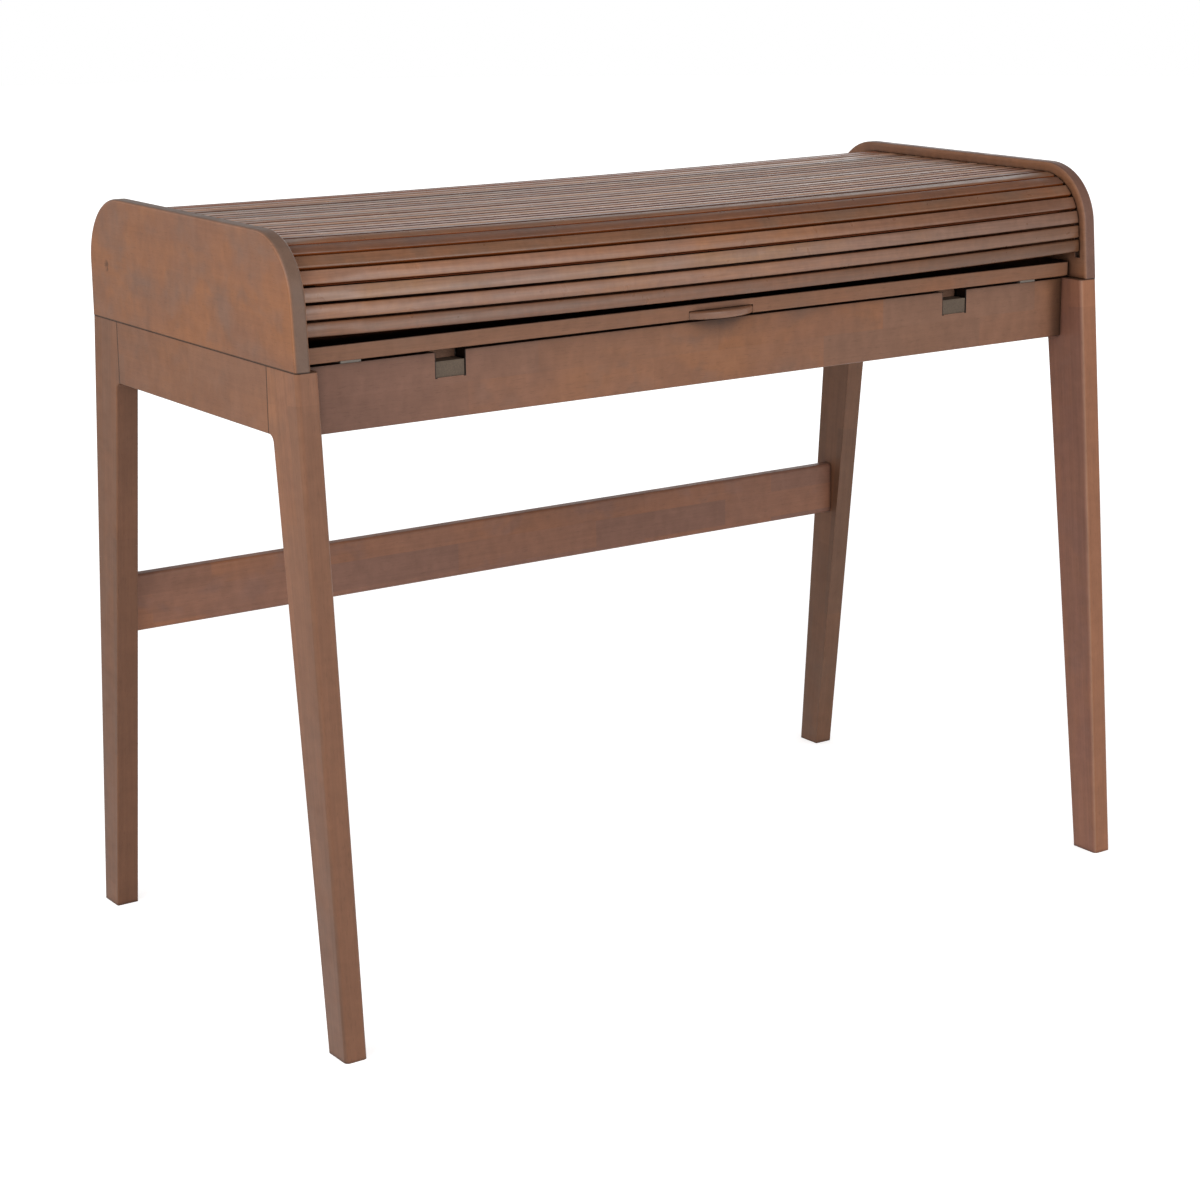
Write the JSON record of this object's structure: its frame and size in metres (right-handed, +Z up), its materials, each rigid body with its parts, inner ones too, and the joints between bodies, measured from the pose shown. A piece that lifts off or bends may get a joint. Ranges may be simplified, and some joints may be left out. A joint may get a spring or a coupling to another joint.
{
  "type": "tambour desk",
  "caption": "Wooden writing desk with a slatted roll curtain over a pull-out writing top, on a frame with splayed tapered legs.",
  "frame": {"origin": "on the floor, under the middle of the desk's outline", "axes": "+X to the right of a person sitting at the desk, +Y to the rear, +Z up"},
  "size_m": [1.1, 0.5984, 0.857],
  "materials": {
    "walnut_slat": "satin-lacquered walnut-stained slat",
    "walnut_panel": "satin-lacquered walnut-stained board",
    "walnut_leg": "satin-lacquered walnut-stained solid wood",
    "walnut_rail": "satin-lacquered walnut-stained, edge-glued staves",
    "walnut_top": "satin-lacquered walnut-stained board",
    "walnut_handle": "satin-lacquered walnut-stained, rounded lip",
    "runner_wood": "waxed end-grain hardwood",
    "batten_wood": "plain unstained hardwood",
    "glide_nylon": "pale nylon pad",
    "lining_board": "walnut-stained thin board",
    "beech_dowel": "plain beech",
    "block_wood": "plain softwood",
    "zinc_screw": "zinc-plated steel"
  },
  "bodies": {
    "desk_frame": {"frame_dowels": "beech_dowel", "corner_screws": "zinc_screw", "front_right_leg": "walnut_leg", "front_left_leg": "walnut_leg", "rear_right_leg": "walnut_leg", "rear_left_leg": "walnut_leg", "right_side_apron": "walnut_rail", "left_side_apron": "walnut_rail", "front_apron": "walnut_rail", "rear_apron": "walnut_rail", "rear_stretcher": "walnut_rail", "right_side_panel": "walnut_panel", "left_side_panel": "walnut_panel", "corner_blocks": "block_wood", "right_runner": "runner_wood", "left_runner": "runner_wood", "glide_pads": "glide_nylon", "inner_floor": "lining_board", "inner_back": "lining_board", "bottom_board": "lining_board"},
    "writing_top": {"writing_top": "walnut_top", "pull_handle": "walnut_handle", "top_battens": "batten_wood", "tail_cleat": "walnut_top"},
    "tambour_flat": {"tambour_slat_08": "walnut_slat", "tambour_slat_09": "walnut_slat", "tambour_slat_10": "walnut_slat", "tambour_slat_11": "walnut_slat", "tambour_slat_12": "walnut_slat", "tambour_slat_13": "walnut_slat", "tambour_slat_14": "walnut_slat", "tambour_slat_15": "walnut_slat", "tambour_slat_16": "walnut_slat"},
    "slat_01": {"tambour_slat_01": "walnut_slat"},
    "slat_02": {"tambour_slat_02": "walnut_slat"},
    "slat_03": {"tambour_slat_03": "walnut_slat"},
    "slat_04": {"tambour_slat_04": "walnut_slat"},
    "slat_05": {"tambour_slat_05": "walnut_slat"},
    "slat_06": {"tambour_slat_06": "walnut_slat"},
    "slat_07": {"tambour_slat_07": "walnut_slat"},
    "slat_17": {"tambour_slat_17": "walnut_slat"},
    "slat_18": {"tambour_slat_18": "walnut_slat"},
    "slat_19": {"tambour_slat_19": "walnut_slat"},
    "slat_20": {"tambour_slat_20": "walnut_slat"},
    "slat_21": {"tambour_slat_21": "walnut_slat"},
    "slat_22": {"tambour_slat_22": "walnut_slat"},
    "slat_23": {"tambour_slat_23": "walnut_slat"},
    "slat_24": {"tambour_slat_24": "walnut_slat"},
    "slat_25": {"tambour_slat_25": "walnut_slat"},
    "slat_26": {"tambour_slat_26": "walnut_slat"},
    "slat_27": {"tambour_slat_27": "walnut_slat"},
    "slat_28": {"tambour_slat_28": "walnut_slat"},
    "slat_29": {"tambour_slat_29": "walnut_slat"},
    "slat_30": {"tambour_slat_30": "walnut_slat"},
    "slat_31": {"tambour_slat_31": "walnut_slat"},
    "slat_32": {"tambour_slat_32": "walnut_slat"},
    "slat_33": {"tambour_slat_33": "walnut_slat"},
    "slat_34": {"tambour_slat_34": "walnut_slat"},
    "slat_35": {"tambour_slat_35": "walnut_slat"},
    "slat_36": {"tambour_slat_36": "walnut_slat"}
  },
  "joints": [
    {"name": "writing_top_slide", "type": "slide", "parent": "desk_frame", "child": "writing_top", "axis": [0, -1, 0], "range_m": [0, 0.162]},
    {"name": "tambour_flat_slide", "type": "slide", "parent": "desk_frame", "child": "tambour_flat", "axis": [0, 1, 0], "range_m": [0, 0.162]},
    {"name": "slat_01_turn", "type": "hinge", "parent": "desk_frame", "child": "slat_01", "pos_m": [0, -0.12739, 0.74197], "axis": [-1, 0, 0], "range_deg": [0, 85.52]},
    {"name": "slat_02_turn", "type": "hinge", "parent": "desk_frame", "child": "slat_02", "pos_m": [0, -0.12739, 0.74197], "axis": [-1, 0, 0], "range_deg": [0, 85.52]},
    {"name": "slat_03_turn", "type": "hinge", "parent": "desk_frame", "child": "slat_03", "pos_m": [0, -0.12311, 0.73057], "axis": [-1, 0, 0], "range_deg": [0, 77.37]},
    {"name": "slat_04_turn", "type": "hinge", "parent": "desk_frame", "child": "slat_04", "pos_m": [0, -0.11443, 0.69746], "axis": [-1, 0, 0], "range_deg": [0, 60.85]},
    {"name": "slat_05_turn", "type": "hinge", "parent": "desk_frame", "child": "slat_05", "pos_m": [0, -0.10575, 0.63925], "axis": [-1, 0, 0], "range_deg": [0, 44.33]},
    {"name": "slat_06_turn", "type": "hinge", "parent": "desk_frame", "child": "slat_06", "pos_m": [0, -0.09707, 0.51262], "axis": [-1, 0, 0], "range_deg": [0, 27.81]},
    {"name": "slat_07_turn", "type": "hinge", "parent": "desk_frame", "child": "slat_07", "pos_m": [0, -0.08839, 0.02027], "axis": [-1, 0, 0], "range_deg": [0, 11.29]},
    {"name": "slat_17_turn", "type": "hinge", "parent": "desk_frame", "child": "slat_17", "pos_m": [0, 0.07878, -8.52138], "axis": [-1, 0, 0], "range_deg": [0, 1.01]},
    {"name": "slat_18_turn", "type": "hinge", "parent": "desk_frame", "child": "slat_18", "pos_m": [0, 0.08746, 0.35685], "axis": [-1, 0, 0], "range_deg": [0, 19.03]},
    {"name": "slat_19_turn", "type": "hinge", "parent": "desk_frame", "child": "slat_19", "pos_m": [0, 0.09613, 0.59735], "axis": [-1, 0, 0], "range_deg": [0, 37.04]},
    {"name": "slat_20_turn", "type": "hinge", "parent": "desk_frame", "child": "slat_20", "pos_m": [0, 0.10481, 0.68142], "axis": [-1, 0, 0], "range_deg": [0, 55.06]},
    {"name": "slat_21_turn", "type": "hinge", "parent": "desk_frame", "child": "slat_21", "pos_m": [0, 0.11349, 0.72416], "axis": [-1, 0, 0], "range_deg": [0, 73.08]},
    {"name": "slat_22_turn", "type": "hinge", "parent": "desk_frame", "child": "slat_22", "pos_m": [0, 0.12217, 0.74956], "axis": [-1, 0, 0], "range_deg": [0, 91.09]},
    {"name": "slat_23_turn", "type": "hinge", "parent": "desk_frame", "child": "slat_23", "pos_m": [0, 0.13085, 0.76574], "axis": [-1, 0, 0], "range_deg": [0, 109.11]},
    {"name": "slat_24_turn", "type": "hinge", "parent": "desk_frame", "child": "slat_24", "pos_m": [0, 0.13953, 0.77616], "axis": [-1, 0, 0], "range_deg": [0, 127.12]},
    {"name": "slat_25_turn", "type": "hinge", "parent": "desk_frame", "child": "slat_25", "pos_m": [0, 0.14821, 0.78251], "axis": [-1, 0, 0], "range_deg": [0, 145.14]},
    {"name": "slat_26_turn", "type": "hinge", "parent": "desk_frame", "child": "slat_26", "pos_m": [0, 0.15688, 0.78564], "axis": [-1, 0, 0], "range_deg": [0, 163.16]},
    {"name": "slat_27_turn", "type": "hinge", "parent": "desk_frame", "child": "slat_27", "pos_m": [0, 0.15875, 0.78606], "axis": [-1, 0, 0], "range_deg": [0, 167.02]},
    {"name": "slat_28_turn", "type": "hinge", "parent": "desk_frame", "child": "slat_28", "pos_m": [0, 0.15007, 0.78856], "axis": [-1, 0, 0], "range_deg": [0, 149]},
    {"name": "slat_29_turn", "type": "hinge", "parent": "desk_frame", "child": "slat_29", "pos_m": [0, 0.14139, 0.79417], "axis": [-1, 0, 0], "range_deg": [0, 130.99]},
    {"name": "slat_30_turn", "type": "hinge", "parent": "desk_frame", "child": "slat_30", "pos_m": [0, 0.13271, 0.80362], "axis": [-1, 0, 0], "range_deg": [0, 112.97]},
    {"name": "slat_31_turn", "type": "hinge", "parent": "desk_frame", "child": "slat_31", "pos_m": [0, 0.12403, 0.81835], "axis": [-1, 0, 0], "range_deg": [0, 94.96]},
    {"name": "slat_32_turn", "type": "hinge", "parent": "desk_frame", "child": "slat_32", "pos_m": [0, 0.11535, 0.84133], "axis": [-1, 0, 0], "range_deg": [0, 76.94]},
    {"name": "slat_33_turn", "type": "hinge", "parent": "desk_frame", "child": "slat_33", "pos_m": [0, 0.10668, 0.8792], "axis": [-1, 0, 0], "range_deg": [0, 58.92]},
    {"name": "slat_34_turn", "type": "hinge", "parent": "desk_frame", "child": "slat_34", "pos_m": [0, 0.098, 0.95045], "axis": [-1, 0, 0], "range_deg": [0, 40.91]},
    {"name": "slat_35_turn", "type": "hinge", "parent": "desk_frame", "child": "slat_35", "pos_m": [0, 0.08932, 1.13195], "axis": [-1, 0, 0], "range_deg": [0, 22.89]},
    {"name": "slat_36_turn", "type": "hinge", "parent": "desk_frame", "child": "slat_36", "pos_m": [0, 0.08064, 2.64108], "axis": [-1, 0, 0], "range_deg": [0, 4.88]}
  ],
  "couplings": [
    {"joint": "tambour_flat_slide", "follows": "writing_top_slide", "ratio": 1},
    {"joint": "slat_01_turn", "follows": "writing_top_slide", "rad_per_m": 9.2115},
    {"joint": "slat_02_turn", "follows": "writing_top_slide", "rad_per_m": 9.2115},
    {"joint": "slat_03_turn", "follows": "writing_top_slide", "rad_per_m": 8.3335},
    {"joint": "slat_04_turn", "follows": "writing_top_slide", "rad_per_m": 6.5538},
    {"joint": "slat_05_turn", "follows": "writing_top_slide", "rad_per_m": 4.774},
    {"joint": "slat_06_turn", "follows": "writing_top_slide", "rad_per_m": 2.9943},
    {"joint": "slat_07_turn", "follows": "writing_top_slide", "rad_per_m": 1.2145},
    {"joint": "slat_17_turn", "follows": "writing_top_slide", "rad_per_m": 0.10681},
    {"joint": "slat_18_turn", "follows": "writing_top_slide", "rad_per_m": 2.0478},
    {"joint": "slat_19_turn", "follows": "writing_top_slide", "rad_per_m": 3.9888},
    {"joint": "slat_20_turn", "follows": "writing_top_slide", "rad_per_m": 5.9297},
    {"joint": "slat_21_turn", "follows": "writing_top_slide", "rad_per_m": 7.8707},
    {"joint": "slat_22_turn", "follows": "writing_top_slide", "rad_per_m": 9.8117},
    {"joint": "slat_23_turn", "follows": "writing_top_slide", "rad_per_m": 11.753},
    {"joint": "slat_24_turn", "follows": "writing_top_slide", "rad_per_m": 13.694},
    {"joint": "slat_25_turn", "follows": "writing_top_slide", "rad_per_m": 15.635},
    {"joint": "slat_26_turn", "follows": "writing_top_slide", "rad_per_m": 17.576},
    {"joint": "slat_27_turn", "follows": "writing_top_slide", "rad_per_m": 17.992},
    {"joint": "slat_28_turn", "follows": "writing_top_slide", "rad_per_m": 16.051},
    {"joint": "slat_29_turn", "follows": "writing_top_slide", "rad_per_m": 14.11},
    {"joint": "slat_30_turn", "follows": "writing_top_slide", "rad_per_m": 12.169},
    {"joint": "slat_31_turn", "follows": "writing_top_slide", "rad_per_m": 10.228},
    {"joint": "slat_32_turn", "follows": "writing_top_slide", "rad_per_m": 8.2871},
    {"joint": "slat_33_turn", "follows": "writing_top_slide", "rad_per_m": 6.3461},
    {"joint": "slat_34_turn", "follows": "writing_top_slide", "rad_per_m": 4.4051},
    {"joint": "slat_35_turn", "follows": "writing_top_slide", "rad_per_m": 2.4642},
    {"joint": "slat_36_turn", "follows": "writing_top_slide", "rad_per_m": 0.52318}
  ]
}
